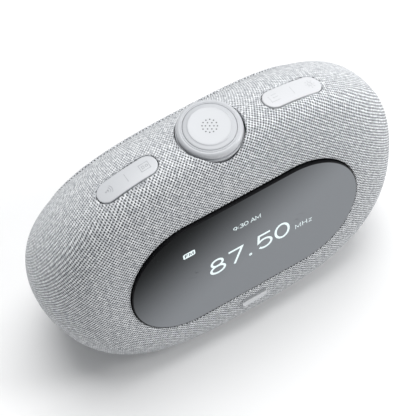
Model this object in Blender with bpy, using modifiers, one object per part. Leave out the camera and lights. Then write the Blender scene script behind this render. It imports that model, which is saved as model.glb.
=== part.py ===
"""A bedside smart display: a pebble-shaped, fabric-covered speaker with a large oval screen,
a dial with a press cap on top, and a two-way rocker key on each side of the dial.

The frame is metres, +Z up, the screen faces -Y, and the origin is on the table under the middle.
Most sizes are millimetres times MM, measured from the centre of the pebble, which at() places.
"""

import math

import bmesh
import bpy
from mathutils import Matrix, Vector

MM = 0.001
GAP = 0.3  # running gap left between two pieces that touch, in millimetres

# The pebble. Its front view is |x/a|^n + |z/b|^m = 1, and it swells forward and backward from there.
HALF_WIDTH = 95.0
TOP = 65.0
BOTTOM = 62.0
OUTLINE_X = 2.85
OUTLINE_Z = 2.25
FRONT_DEPTH = 32.0
FRONT_TAPER = 0.33  # the front deepens by this much for each millimetre further down
FRONT_FLATNESS = 3.0
FRONT_ROUND = 1.75
BACK_DEPTH = 35.0
BACK_FLATNESS = 2.5
BACK_ROUND = 2.3
LEAN = -0.12  # the middle moves forward by this share of the height
BASE_CUT = -54.0  # the flat underside, seen from the pebble's centre
FOOT_HEIGHT = 1.5
CENTRE_Y = -1.5
CENTRE_Z = FOOT_HEIGHT - BASE_CUT

# Walls, as depths under the pebble's surface.
FABRIC = 1.2
SHELL_OUT = FABRIC + GAP
SHELL_IN = 3.7
LINING = SHELL_IN + GAP

# The screen stands on a plane that leans back.
SCREEN_LEAN = math.radians(10.5)
SCREEN_Y = -31.1
SCREEN_Z = 6.7
LENS_HALF_STRAIGHT = 28.2
LENS_RADIUS = 33.6
LENS_THICK = 2.0
SPLIT_DEPTH = 6.1  # the front baffle ends this far behind the lens face
PANEL_SIZE = (92.0, 50.0, 3.2)
CARD_DEPTH = 14.0
CARD_THICK = 1.6

# The dial and its press cap.
DIAL_Y = 2.1
DIAL_TOP = 67.1
DIAL_RADIUS = 15.4
CAP_RADIUS = 12.3
WELL_RADIUS = 16.3
SEAT_FLOOR = 51.0

# The rocker keys.
KEY_X = 44.0
KEY_Y = 1.6
KEY_HALF_STRAIGHT = 10.2
KEY_RADIUS = 5.45
KEY_GAP = 0.35
KEY_PROUD = 0.2

# Two drivers face the ends, and a passive radiator faces the back.
DRIVER_Y = 2.0
DRIVER_Z = -4.0
BULKHEAD_X = 72.0
RADIATOR_Z = 2.0
RADIATOR_HALF_STRAIGHT = 15.0
RADIATOR_RADIUS = 15.5
PORT_Z = -32.0
PORT_FACE = 37.6
PORT_HALF_STRAIGHT = 22.0
PORT_RADIUS = 7.0
JACK_X = -13.0
USB_X = 12.0
SCREW_X = 34.0
SCREW_YS = (-5.0, 18.0)


def clear_scene():
    for thing in list(bpy.data.objects):
        bpy.data.objects.remove(thing)


def collection_named(name):
    made = bpy.data.collections.new(name)
    bpy.context.scene.collection.children.link(made)
    return made


clear_scene()
PARTS = collection_named("bedside_smart_display")
CUTTERS = collection_named("cutters")
CUTTERS.hide_render = True


def at(x, y, z):
    """A point given in millimetres from the pebble's centre, in metres in the frame."""
    return Vector((x, y + CENTRE_Y, z + CENTRE_Z)) * MM


def finish(name, colour, roughness, metallic=0.0):
    made = bpy.data.materials.new(name)
    made.use_nodes = True
    shader = made.node_tree.nodes["Principled BSDF"]
    shader.inputs["Base Color"].default_value = (*colour, 1.0)
    shader.inputs["Roughness"].default_value = roughness
    shader.inputs["Metallic"].default_value = metallic
    made.diffuse_color = (*colour, 1.0)
    return made


def part(name, mesh, material):
    made = bpy.data.objects.new(name, mesh)
    mesh.materials.clear()
    mesh.materials.append(finish(f"{name}_finish", *material))
    PARTS.objects.link(made)
    return made


def cutter(name, mesh):
    made = bpy.data.objects.new(name, mesh)
    CUTTERS.objects.link(made)
    made.hide_render = True
    made.display_type = "WIRE"
    return made


def carve(target, other, operation="DIFFERENCE"):
    step = target.modifiers.new(f"{operation.lower()}_{other.name}", "BOOLEAN")
    step.operation = operation
    step.solver = "EXACT"
    step.object = other


def smooth(mesh, degrees=35):
    mesh.shade_smooth()
    mesh.set_sharp_from_angle(angle=math.radians(degrees))
    return mesh


# ---------------------------------------------------------------- the pebble

def swell(width_share, height_share):
    """How much of the outline is used up, from 0 at the middle to 1 at the rim."""
    return min(abs(width_share) ** OUTLINE_X + abs(height_share) ** OUTLINE_Z, 1.0)


def half_height(z):
    return TOP if z > 0 else BOTTOM


def front_y(x, z):
    used = swell(x / HALF_WIDTH, z / half_height(z))
    depth = FRONT_DEPTH - FRONT_TAPER * z
    return LEAN * z - depth * (1 - used ** FRONT_FLATNESS) ** (1 / FRONT_ROUND)


def back_y(x, z):
    used = swell(x / HALF_WIDTH, z / half_height(z))
    return LEAN * z + BACK_DEPTH * (1 - used ** BACK_FLATNESS) ** (1 / BACK_ROUND)


def top_z(x, y):
    """Height of the upper surface, found by halving the interval that holds it."""
    low, high = 0.0, TOP
    for _ in range(40):
        middle = (low + high) / 2
        inside = swell(x / HALF_WIDTH, middle / TOP) < 1
        if inside and front_y(x, middle) < y < back_y(x, middle):
            low = middle
        else:
            high = middle
    return low


def pebble_mesh(name, offset, around=40, rings=20):
    """The pebble, or the surface that lies offset millimetres outside it.

    A unit sphere with its poles along Y is stretched: x and z follow the outline's powers, and y
    follows how much of the outline is used up at that vertex.
    """
    work = bmesh.new()
    bmesh.ops.create_uvsphere(work, u_segments=around, v_segments=rings, radius=1.0)
    bmesh.ops.rotate(work, verts=work.verts, matrix=Matrix.Rotation(math.pi / 2, 3, "X"))
    for vertex in work.verts:
        u, v, w = vertex.co
        x = math.copysign(abs(u) ** (2 / OUTLINE_X), u) * HALF_WIDTH
        z = math.copysign(abs(w) ** (2 / OUTLINE_Z), w) * half_height(w)
        side = front_y(x, z) if v < 0 else back_y(x, z)
        vertex.co = at(x, LEAN * z if abs(v) < 1e-6 else side, z)
    bmesh.ops.recalc_face_normals(work, faces=work.faces)
    work.normal_update()
    moved = [vertex.co + vertex.normal * offset * MM for vertex in work.verts]
    for vertex, place in zip(work.verts, moved):
        vertex.co = place
    mesh = bpy.data.meshes.new(name)
    work.to_mesh(mesh)
    work.free()
    return smooth(mesh)


# ---------------------------------------------------------------- simple solids

def box_mesh(name, size, matrix=Matrix.Identity(4)):
    """A box of the given size in millimetres, centred on the matrix."""
    work = bmesh.new()
    bmesh.ops.create_cube(work, size=1.0)
    bmesh.ops.scale(work, verts=work.verts, vec=Vector(size) * MM)
    bmesh.ops.transform(work, verts=work.verts, matrix=matrix)
    mesh = bpy.data.meshes.new(name)
    work.to_mesh(mesh)
    work.free()
    return mesh


def blocks(name, corners):
    """One mesh of several boxes, each between two corners in millimetres from the pebble's centre."""
    work = bmesh.new()
    for low, high in corners:
        size = Vector([b - a for a, b in zip(low, high)]) * MM
        middle = at(*[(a + b) / 2 for a, b in zip(low, high)])
        bmesh.ops.create_cube(work, size=1.0, matrix=Matrix.Translation(middle) @ Matrix.Diagonal((*size, 1)))
    mesh = bpy.data.meshes.new(name)
    work.to_mesh(mesh)
    work.free()
    return mesh


def block(name, low, high):
    return blocks(name, [(low, high)])


def oval(half_straight, radius, steps=12):
    """Outline of a slot with round ends, as (x, y) points in millimetres."""
    points = []
    for side in (1, -1):
        for step in range(steps + 1):
            angle = math.pi * step / steps - math.pi / 2
            points.append((side * (half_straight + radius * math.cos(angle)),
                           side * radius * math.sin(angle)))
    return points


def rounded(width, height, radius, steps=4):
    """Outline of a rectangle with round corners, as (x, y) points in millimetres."""
    points = []
    for quarter, (sx, sy) in enumerate(((1, 1), (-1, 1), (-1, -1), (1, -1))):
        for step in range(steps + 1):
            angle = math.pi / 2 * (quarter + step / steps)
            points.append((sx * (width / 2 - radius) + radius * math.cos(angle),
                           sy * (height / 2 - radius) + radius * math.sin(angle)))
    return points


def prism_mesh(name, outlines, low, high, matrix):
    """Flat outlines filled and extruded between two levels; an inner outline makes a window."""
    curve = bpy.data.curves.new(name, "CURVE")
    curve.dimensions = "2D"
    curve.fill_mode = "BOTH"
    curve.extrude = (high - low) / 2 * MM
    for outline in outlines:
        spline = curve.splines.new("POLY")
        spline.points.add(len(outline) - 1)
        for point, (x, y) in zip(spline.points, outline):
            point.co = (x * MM, y * MM, 0, 1)
        spline.use_cyclic_u = True
    holder = bpy.data.objects.new(name, curve)
    CUTTERS.objects.link(holder)
    graph = bpy.context.evaluated_depsgraph_get()
    mesh = bpy.data.meshes.new_from_object(holder.evaluated_get(graph))
    bpy.data.objects.remove(holder)
    bpy.data.curves.remove(curve)
    mesh.name = name
    work = bmesh.new()
    work.from_mesh(mesh)
    bmesh.ops.remove_doubles(work, verts=work.verts, dist=1e-6)
    bmesh.ops.translate(work, verts=work.verts, vec=(0, 0, (low + high) / 2 * MM))
    bmesh.ops.transform(work, verts=work.verts, matrix=matrix)
    bmesh.ops.recalc_face_normals(work, faces=work.faces)
    work.to_mesh(mesh)
    work.free()
    return mesh


def turned(holder, profile, matrix, steps=32):
    """Gives the object a lathe profile of (radius, height) millimetres, turned about matrix's Z.

    The profile runs down the outer side, and back up the inner side where the piece is a ring.
    """
    work = bmesh.new()
    points = [work.verts.new((radius * MM, 0, height * MM)) for radius, height in profile]
    closed = min(radius for radius, _ in profile) > 0
    pairs = list(zip(points, points[1:])) + ([(points[-1], points[0])] if closed else [])
    for pair in pairs:
        work.edges.new(pair)
    work.to_mesh(holder.data)
    work.free()
    holder.matrix_world = matrix
    screw = holder.modifiers.new("turn", "SCREW")
    screw.steps = screw.render_steps = steps
    screw.use_merge_vertices = True
    screw.merge_threshold = 1e-6
    screw.use_smooth_shade = True
    return holder


def turned_part(name, profile, matrix, material, steps=32):
    return turned(part(name, bpy.data.meshes.new(name), material), profile, matrix, steps)


def turned_cutter(name, profile, matrix, steps=32):
    return turned(cutter(name, bpy.data.meshes.new(name)), profile, matrix, steps)


def rod(low, high, radius):
    """Profile of a plain cylinder between two heights."""
    return [(0, high), (radius, high), (radius, low), (0, low)]


def tube(low, high, inner, outer):
    """Profile of a plain tube between two heights."""
    return [(inner, high), (outer, high), (outer, low), (inner, low)]


def facing(origin, right, up):
    """Matrix whose X is right, Y is up and Z is right x up, placed at origin."""
    right, up = Vector(right).normalized(), Vector(up).normalized()
    columns = (right, up, right.cross(up))
    return Matrix.Translation(origin) @ Matrix(columns).transposed().to_4x4()


# ---------------------------------------------------------------- materials (colour, roughness, metallic)

FABRIC_GREY = ((0.62, 0.64, 0.67), 0.95)
SHELL_GREY = ((0.30, 0.31, 0.33), 0.6)
DARK = ((0.02, 0.02, 0.022), 0.5)
RUBBER = ((0.05, 0.05, 0.055), 0.85)
LIGHT_PLASTIC = ((0.78, 0.80, 0.82), 0.4)
GLASS = ((0.05, 0.055, 0.06), 0.08)
CARD_GREEN = ((0.03, 0.16, 0.08), 0.5)
STEEL = ((0.6, 0.6, 0.62), 0.3, 1.0)
SILVER = ((0.72, 0.73, 0.75), 0.3, 1.0)
PAPER = ((0.06, 0.06, 0.06), 0.8)
AMBER = ((0.55, 0.27, 0.06), 0.45)

SCREEN = facing(at(0, SCREEN_Y, SCREEN_Z), (1, 0, 0),
                (0, math.sin(SCREEN_LEAN), math.cos(SCREEN_LEAN)))
DIAL = Matrix.Translation(at(0, DIAL_Y, 0))
BACK = facing(at(0, 0, PORT_Z), (-1, 0, 0), (0, 0, 1))


def key_frame(side):
    """Matrix on the pebble's top at a rocker key: X along the key, Z out of the surface."""
    x, step = side * KEY_X, 0.5
    slope_x = (top_z(x + step, KEY_Y) - top_z(x - step, KEY_Y)) / (2 * step)
    slope_y = (top_z(x, KEY_Y + step) - top_z(x, KEY_Y - step)) / (2 * step)
    out = Vector((-slope_x, -slope_y, 1)).normalized()
    along = (Vector((1, 0, slope_x))).normalized()
    return facing(at(x, KEY_Y, top_z(x, KEY_Y)), along, out.cross(along))


KEYS = {"left": key_frame(-1), "right": key_frame(1)}
ENDS = {"left": -1, "right": 1}


# ---------------------------------------------------------------- shared cutters

under_fabric = cutter("under_fabric", pebble_mesh("under_fabric", -FABRIC))
inside_shell = cutter("inside_shell", pebble_mesh("inside_shell", -SHELL_IN))
lining = cutter("lining", pebble_mesh("lining", -LINING))
key_top = cutter("key_top", pebble_mesh("key_top", KEY_PROUD, 80, 40))
underside = cutter("underside", block("underside", (-200, -200, BASE_CUT - 100), (200, 200, BASE_CUT)))
screen_hole = cutter("screen_hole", prism_mesh(
    "screen_hole", [oval(LENS_HALF_STRAIGHT, LENS_RADIUS + KEY_GAP, 16)], -40, 30, SCREEN))
cloth_hole = turned_cutter("cloth_hole", rod(40, 80, WELL_RADIUS), DIAL)
well_hole = turned_cutter("well_hole", rod(40, 80, WELL_RADIUS + 2 * GAP), DIAL)
port_hole = cutter("port_hole", prism_mesh(
    "port_hole", [oval(PORT_HALF_STRAIGHT, PORT_RADIUS + GAP, 8)], 25, 60, BACK))
key_slots = {
    side: cutter(f"{side}_key_slot", prism_mesh(
        f"{side}_key_slot", [oval(KEY_HALF_STRAIGHT, KEY_RADIUS + KEY_GAP, 10)], -8, 10, frame))
    for side, frame in KEYS.items()
}


def open_up(shell, *holes):
    for hole in holes:
        carve(shell, hole)


# ---------------------------------------------------------------- the enclosure

def fabric_cover():
    cover = part("fabric_cover", pebble_mesh("fabric_cover", 0), FABRIC_GREY)
    open_up(cover, under_fabric, underside, screen_hole, cloth_hole, port_hole, *key_slots.values())


def front_baffle():
    """The part of the shell in front of the split, with the screen opening."""
    front = part("front_baffle", pebble_mesh("front_baffle", -SHELL_OUT), SHELL_GREY)
    behind = cutter("behind_split", prism_mesh(
        "behind_split", [rounded(400, 400, 1)], -200, -SPLIT_DEPTH, SCREEN))
    open_up(front, inside_shell, behind, underside, screen_hole)


def rear_housing():
    """The rest of the shell: top, ends, back and lower rim, with slots over the sound openings."""
    rear = part("rear_housing", pebble_mesh("rear_housing", -SHELL_OUT), SHELL_GREY)
    ahead = cutter("ahead_of_split", prism_mesh(
        "ahead_of_split", [rounded(400, 400, 1)], -SPLIT_DEPTH - GAP, 200, SCREEN))
    open_up(rear, inside_shell, ahead, underside, well_hole, port_hole, *key_slots.values())
    ends, back = [], []
    for sign in ENDS.values():
        for row in range(-1, 2):
            middle, reach = DRIVER_Y + 8.6 * row, 15 - 2 * abs(row)
            ends.append(((min(sign * 80, sign * 99), middle - 1.9, DRIVER_Z - reach),
                         (max(sign * 80, sign * 99), middle + 1.9, DRIVER_Z + reach)))
    for column in range(-2, 3):
        middle, reach = column * 9.3, 14 - abs(column)
        back.append(((middle - 1.8, 28, RADIATOR_Z - reach), (middle + 1.8, 50, RADIATOR_Z + reach)))
    open_up(rear, cutter("end_sound_slots", blocks("end_sound_slots", ends)),
            cutter("rear_sound_slots", blocks("rear_sound_slots", back)))


def base_plate():
    plate = part("base_plate", block("base_plate", (-80, -50, BASE_CUT), (80, 50, BASE_CUT + 2.5)), DARK)
    carve(plate, lining, "INTERSECT")
    for number, (x, y) in enumerate(screw_places(), 1):
        place = Matrix.Translation(at(x, y, BASE_CUT))
        carve(plate, turned_cutter(f"screw_hole_{number}", rod(-1, 10, 1.5), place, 12))
        carve(plate, turned_cutter(f"screw_recess_{number}", rod(-1, 1.7, 3.0), place, 16))


def screw_places():
    return [(x, y) for x in (-SCREW_X, SCREW_X) for y in SCREW_YS]


def base_screws():
    for number, (x, y) in enumerate(screw_places(), 1):
        head = [(0, 12.5), (1.15, 12.5), (1.15, 1.4), (2.7, 1.4), (2.7, GAP), (0, GAP)]
        turned_part(f"base_screw_{number}", head, Matrix.Translation(at(x, y, BASE_CUT)), STEEL, 12)


def foot_pad():
    """A rubber pad with a flat face, the lowest piece of the object. It hides the screws."""
    place = Matrix.Translation(at(0, -CENTRE_Y, BASE_CUT - FOOT_HEIGHT))
    mesh = prism_mesh("foot_pad", [oval(32, 23)], 0, FOOT_HEIGHT - GAP, place)
    part("foot_pad", mesh, RUBBER)


# ---------------------------------------------------------------- the screen

def screen_pieces():
    lens = prism_mesh("display_lens", [oval(LENS_HALF_STRAIGHT, LENS_RADIUS, 16)], -LENS_THICK, 0, SCREEN)
    part("display_lens", lens, GLASS)
    width, height, thick = PANEL_SIZE
    window = rounded(width + 2 * GAP, height + 2 * GAP, 1)
    front = -LENS_THICK - GAP
    rim = [oval(LENS_HALF_STRAIGHT, LENS_RADIUS - GAP, 16), window]
    frame = part("display_frame", prism_mesh("display_frame", rim, -8.6, front, SCREEN), DARK)
    flange = cutter("frame_flange", prism_mesh(
        "frame_flange", [oval(LENS_HALF_STRAIGHT, LENS_RADIUS + 2.4, 16), window], -8.6, -6.6, SCREEN))
    carve(frame, flange, "UNION")
    part("display_panel", prism_mesh(
        "display_panel", [rounded(width, height, 1)], front - thick, front, SCREEN), DARK)


def main_board():
    """The main circuit board, with a shielding can and a connector on its face."""
    board = part("main_board", prism_mesh(
        "main_board", [rounded(116, 56, 2)], -CARD_DEPTH - CARD_THICK, -CARD_DEPTH, SCREEN), CARD_GREEN)
    bumps = (("shield_can", (-26, 5), (36, 26), 2.5), ("socket", (0, -23.5), (22, 5), 2.0))
    for name, middle, size, tall in bumps:
        place = SCREEN @ Matrix.Translation(Vector((*middle, 0)) * MM)
        bump = prism_mesh(name, [rounded(*size, 0.5)], -CARD_DEPTH - 0.5, -CARD_DEPTH + tall, place)
        carve(board, cutter(name, bump), "UNION")


def display_ribbon():
    """A flat flexible cable from the back of the panel down to the main board's socket."""
    width = 20.0
    route = [(-8, 6.0), (-15, 6.0), (-17.5, 6.8), (-19.5, 8.6), (-21, 10.4), (-22.5, 11.4), (-25, 11.6)]
    work = bmesh.new()
    rows = []
    for up, deep in route:
        rows.append([work.verts.new((side * width / 2 * MM, up * MM, -deep * MM)) for side in (-1, 1)])
    for (a, b), (c, d) in zip(rows, rows[1:]):
        work.faces.new((a, b, d, c))
    bmesh.ops.transform(work, verts=work.verts, matrix=SCREEN)
    mesh = bpy.data.meshes.new("display_ribbon")
    work.to_mesh(mesh)
    work.free()
    ribbon = part("display_ribbon", mesh, AMBER)
    skin = ribbon.modifiers.new("thickness", "SOLIDIFY")
    skin.thickness = 0.3 * MM
    skin.offset = 0


def chassis():
    """An upright plate behind the main board and a shelf over the base, on four screw posts."""
    back = -CARD_DEPTH - CARD_THICK - GAP
    frame = part("chassis", prism_mesh("chassis", [rounded(120, 78, 3)], back - 2, back,
                                       SCREEN @ Matrix.Translation((0, -9 * MM, 0))), SHELL_GREY)
    carve(frame, cutter("shelf", block("shelf", (-50, -22, -43), (50, 24, -41))), "UNION")
    for number, (x, y) in enumerate(screw_places(), 1):
        place = Matrix.Translation(at(x, y, 0))
        carve(frame, turned_cutter(f"post_{number}", rod(BASE_CUT + 2.5 + GAP, -42, 3.5), place, 16), "UNION")
        carve(frame, turned_cutter(f"post_bore_{number}", rod(BASE_CUT, BASE_CUT + 13, 1.45), place, 12))


def radio_antenna():
    back = -CARD_DEPTH - CARD_THICK - 2 * GAP - 2
    place = SCREEN @ Matrix.Translation((0, 24 * MM, 0))
    part("radio_antenna", prism_mesh("radio_antenna", [rounded(92, 5, 1)], back - 0.6, back, place), AMBER)


def badge_plate():
    """A plain raised bar under the screen."""
    z = -33.4
    slope = (front_y(0, z + 1) - front_y(0, z - 1)) / 2
    place = facing(at(0, front_y(0, z), z), (1, 0, 0), (0, slope, 1))
    plate = part("badge_plate", prism_mesh("badge_plate", [rounded(14.0, 4.6, 1.2)], GAP, 1.1, place), SILVER)
    bevel = plate.modifiers.new("soft_edge", "BEVEL")
    bevel.width = 0.25 * MM
    bevel.segments = 2
    bevel.angle_limit = math.radians(60)


# ---------------------------------------------------------------- the dial

def dial_pieces():
    floor = SEAT_FLOOR
    outer = WELL_RADIUS + GAP
    seat = [(6.5, 61), (8, 61), (8, floor + 1.5), (15.9, floor + 1.5), (15.9, 55.4), (outer, 55.4),
            (outer, floor), (6.5, floor)]
    turned_part("dial_seat", seat, DIAL, DARK)
    ring = [(12.6, 66.2), (13.3, 66.3), (14.2, 65.6), (14.9, 64.4), (15.2, 62.6), (15.2, 60.2), (14.8, 59.8),
            (14.8, 59.3), (DIAL_RADIUS, 58.9), (DIAL_RADIUS, 57.4), (13.6, 57.4), (13.6, 61.5), (9.6, 61.5),
            (9.6, 54.2), (8.3, 54.2), (8.3, 63), (12.6, 63)]
    turned_part("dial_ring", ring, DIAL, LIGHT_PLASTIC, 40)
    turned_part("dial_encoder", tube(floor + 1.8, 57.0, 10.0, 13.2), DIAL, DARK)
    cap = [(0, DIAL_TOP - 0.15), (9.4, DIAL_TOP - 0.1), (10.05, DIAL_TOP), (11.9, DIAL_TOP - 0.5),
           (CAP_RADIUS, DIAL_TOP - 0.9), (CAP_RADIUS, 64.4), (2.5, 64.4), (2.5, 55.4), (0, 55.4)]
    turned_part("snooze_cap", cap, DIAL, LIGHT_PLASTIC, 40)


def control_board():
    card = Matrix.Translation(at(0, DIAL_Y, 0))
    top = SEAT_FLOOR - GAP
    part("control_board", prism_mesh(
        "control_board", [rounded(56, 26, 2)], top - CARD_THICK, top, card), CARD_GREEN)
    tact_switch("snooze_switch", top + GAP, 54.6, card)


def tact_switch(name, low, high, matrix):
    """A small square push switch with a round plunger."""
    body = prism_mesh(name, [rounded(6, 6, 0.5, 2)], low, high - 1.2, matrix)
    plunger = turned_cutter(f"{name}_plunger", rod(high - 2, high, 1.7), matrix, 12)
    carve(part(name, body, DARK), plunger, "UNION")


# ---------------------------------------------------------------- the rocker keys

def key_pieces(side, frame):
    key = part(f"{side}_key", prism_mesh(
        f"{side}_key", [oval(KEY_HALF_STRAIGHT, KEY_RADIUS, 10)], -2.6, 4, frame), LIGHT_PLASTIC)
    carve(key, key_top, "INTERSECT")
    rib = box_mesh(f"{side}_key_rib", (1.6, 7, 3.4), frame @ Matrix.Translation((0, 0, -3.8 * MM)))
    carve(key, cutter(f"{side}_key_rib", rib), "UNION")
    carrier = part(f"{side}_key_board", prism_mesh(
        f"{side}_key_board", [rounded(42, 9, 1.5)], -10.4, -8.8, frame), CARD_GREEN)
    fulcrum = box_mesh(f"{side}_fulcrum", (1.6, 7, 3.4), frame @ Matrix.Translation((0, 0, -7.5 * MM)))
    carve(carrier, cutter(f"{side}_fulcrum", fulcrum), "UNION")
    for end in (-1, 1):
        nub = frame @ Matrix.Translation((end * 10 * MM, 0, 0))
        carve(key, turned_cutter(f"{side}_key_nub_{end + 1}", rod(-4.4, -2.0, 1.5), nub, 12), "UNION")
        place = "outer" if end == ENDS[side] else "inner"
        tact_switch(f"{side}_{place}_switch", -8.8 + GAP, -5.2, nub)
        post = frame @ Matrix.Translation((end * 18.6 * MM, 0, 0))
        stand = turned_cutter(f"{side}_post_{end + 1}", rod(-9.5, 0, 1.6), post, 12)
        carve(stand, lining, "INTERSECT")
        carve(carrier, stand, "UNION")


# ---------------------------------------------------------------- the drivers

def driver_pieces(side, sign):
    axis = facing(at(0, DRIVER_Y, DRIVER_Z), (0, sign, 0), (0, 0, 1))
    wall = BULKHEAD_X
    plate = part(f"{side}_bulkhead", block(
        f"{side}_bulkhead", (min(sign * wall, sign * (wall + 2)), -60, -49),
        (max(sign * wall, sign * (wall + 2)), 60, 70)), SHELL_GREY)
    carve(plate, lining, "INTERSECT")
    carve(plate, turned_cutter(f"{side}_driver_hole", rod(wall - 5, wall + 5, 17.6), axis, 24))
    front = wall + 4.0
    basket = [(16.2, front), (22, front), (22, front - 1.7), (17.2, front - 1.7), (17.2, front - 6),
              (10, front - 14.3), (10, front - 16), (6.6, front - 16), (6.6, front - 14.6),
              (9, front - 14.3), (16.2, front - 6)]
    turned_part(f"{side}_basket", basket, axis, STEEL, 24)
    turned_part(f"{side}_magnet", rod(front - 25, front - 16 - GAP, 13), axis, STEEL, 24)
    under, over = front + GAP, front + GAP + 0.6
    roll = [(16.0, over), (17.0, front + 2.0), (18.3, front + 2.4), (19.6, front + 2.0), (20.5, over),
            (21.8, over), (21.8, under), (20.2, under), (19.2, front + 1.5), (18.3, front + 1.8),
            (17.4, front + 1.5), (16.4, under), (16.0, under)]
    turned_part(f"{side}_surround", roll, axis, RUBBER, 24)
    cone = [(0, front - 6.2), (4, front - 6.9), (6.1, front - 8.4), (15.2, front - 0.2),
            (15.7, front - 0.2), (15.7, front - 0.9), (6.1, front - 9.6), (6.1, front - 12.4),
            (5.3, front - 12.4), (5.3, front - 9), (4, front - 7.7), (0, front - 7.0)]
    turned_part(f"{side}_cone", cone, axis, PAPER, 24)


def radiator_pieces():
    """A spring-hung weight that the drivers' air moves, behind the slots in the back."""
    place = facing(at(0, 0, RADIATOR_Z), (-1, 0, 0), (0, 0, 1))
    straight, radius = RADIATOR_HALF_STRAIGHT, RADIATOR_RADIUS
    rim = [oval(straight, radius + 5), oval(straight, radius + 1.5)]
    frame = part("radiator_frame", prism_mesh("radiator_frame", rim, 23, 40, place), SHELL_GREY)
    carve(frame, lining, "INTERSECT")
    edge = [oval(straight, radius + 1.2), oval(straight, radius + 0.4)]
    part("radiator_surround", prism_mesh("radiator_surround", edge, 24.4, 26.8, place), RUBBER)
    part("radiator_plate", prism_mesh("radiator_plate", [oval(straight, radius)], 24.6, 26.6, place), STEEL)


# ---------------------------------------------------------------- the ports at the back

def port_pieces():
    outline = oval(PORT_HALF_STRAIGHT, PORT_RADIUS, 8)
    panel = part("rear_panel", prism_mesh("rear_panel", [outline], 34.0, PORT_FACE, BACK), DARK)
    jack_place = BACK @ Matrix.Translation((-JACK_X * MM, 0, 0))
    usb_place = BACK @ Matrix.Translation((-USB_X * MM, 0, 0))
    face = PORT_FACE - 0.7
    carve(panel, turned_cutter("jack_window", rod(30, 40, 4.4 + GAP), jack_place, 24))
    carve(panel, cutter("usb_window", prism_mesh(
        "usb_window", [rounded(13.2 + 2 * GAP, 5.8 + 2 * GAP, 0.6)], 30, 40, usb_place)))
    jack = [(0, face - 2), (1.0, face - 2), (1.0, face - 9), (2.8, face - 9), (2.8, face), (4.4, face),
            (4.4, 22), (0, 22)]
    turned_part("power_inlet", jack, jack_place, DARK, 24)
    port = part("usb_port", prism_mesh("usb_port", [rounded(13.2, 5.8, 0.6)], 22, face, usb_place), STEEL)
    carve(port, cutter("usb_cavity", prism_mesh(
        "usb_cavity", [rounded(12.2, 4.8, 0.3), rounded(11.0, 1.8, 0.2)], face - 10, face + 5,
        usb_place)))
    part("port_board", prism_mesh("port_board", [rounded(54, 16.6, 1)], 20, 20 + CARD_THICK,
                                  BACK @ Matrix.Translation((0, -0.4 * MM, 0))), CARD_GREEN)


fabric_cover()
front_baffle()
rear_housing()
base_plate()
base_screws()
foot_pad()
screen_pieces()
main_board()
display_ribbon()
chassis()
radio_antenna()
badge_plate()
dial_pieces()
control_board()
for side_name, key_matrix in KEYS.items():
    key_pieces(side_name, key_matrix)
for side_name, side_sign in ENDS.items():
    driver_pieces(side_name, side_sign)
radiator_pieces()
port_pieces()
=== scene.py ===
# %% [markdown]
# # A bedside smart display in cloth, glass and pale plastic
# The maker's solids are already packed as a fixed frame. This lesson adds what the eye sees: cloth
# stretched over a pebble, a smoked oval window with lit digits, a finely ribbed dial with a press
# cap, and two flush rocker keys. Each step says what the real piece is and why it is made this way.

# %% Open the frame and note the box it fills
import math

import bmesh
import bpy
import numpy as np
from mathutils import Matrix, Vector


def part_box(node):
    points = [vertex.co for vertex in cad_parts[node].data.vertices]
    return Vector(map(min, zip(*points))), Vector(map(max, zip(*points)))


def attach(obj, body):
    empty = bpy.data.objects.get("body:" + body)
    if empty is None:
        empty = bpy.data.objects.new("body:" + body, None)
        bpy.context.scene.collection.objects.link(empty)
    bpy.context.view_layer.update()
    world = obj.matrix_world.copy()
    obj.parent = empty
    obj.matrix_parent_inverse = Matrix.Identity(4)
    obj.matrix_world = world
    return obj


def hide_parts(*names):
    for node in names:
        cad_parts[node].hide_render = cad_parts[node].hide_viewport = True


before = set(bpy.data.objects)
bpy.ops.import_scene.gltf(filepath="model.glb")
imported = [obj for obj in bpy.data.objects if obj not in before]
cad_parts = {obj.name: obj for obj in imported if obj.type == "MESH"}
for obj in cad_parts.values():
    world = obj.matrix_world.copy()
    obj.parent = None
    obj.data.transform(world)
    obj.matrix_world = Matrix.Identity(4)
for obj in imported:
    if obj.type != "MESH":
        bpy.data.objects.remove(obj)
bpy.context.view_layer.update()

MM = 0.001
BODY = "enclosure"

# %% [markdown]
# Everything is measured from the middle of the pebble. The cloth's lowest edge is its flat cut,
# 54 mm under that middle, and the dial sits 2.1 mm behind it, so both give the middle's place.

# %% Find the pebble's middle
BASE_CUT, DIAL_Y = -54.0, 2.1
cloth_low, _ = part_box("fabric_cover")
dial_low, dial_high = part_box("dial_ring")
MIDDLE = np.array([0.0, (dial_low[1] + dial_high[1]) / 2 / MM - DIAL_Y, cloth_low[2] / MM - BASE_CUT])
print("middle of the pebble in mm:", MIDDLE.round(2))


def to_frame(points):
    """Millimetres from the pebble's middle, turned into metres in the frame."""
    return (np.asarray(points, float) + MIDDLE) * MM


# %% [markdown]
# The camera stands high in front and to the left, far off, with a long lens, so the oval shows its
# top, its dial and its window together. Its direction is an azimuth and an elevation.

# %% Place the camera
AZIMUTH, ELEVATION, DISTANCE = math.radians(-31.91), math.radians(60.29), 917.36
right = np.array([math.cos(AZIMUTH), math.sin(AZIMUTH), 0])
back = np.array([math.sin(AZIMUTH) * math.cos(ELEVATION), -math.cos(AZIMUTH) * math.cos(ELEVATION),
                 math.sin(ELEVATION)])
up = np.cross(back, right)
lens = bpy.data.cameras.new("studio camera")
lens.sensor_width, lens.lens = 36.0, 166.33
lens.clip_start, lens.clip_end = 0.01, 20.0
camera = bpy.data.objects.new("studio camera", lens)
bpy.context.scene.collection.objects.link(camera)
camera.location = to_frame(-1.88 * right - 2.01 * up + DISTANCE * back)
camera.rotation_euler = Matrix([right, up, back]).transposed().to_euler()
bpy.context.scene.camera = camera
print("camera at", [round(v, 3) for v in camera.location])

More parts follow.
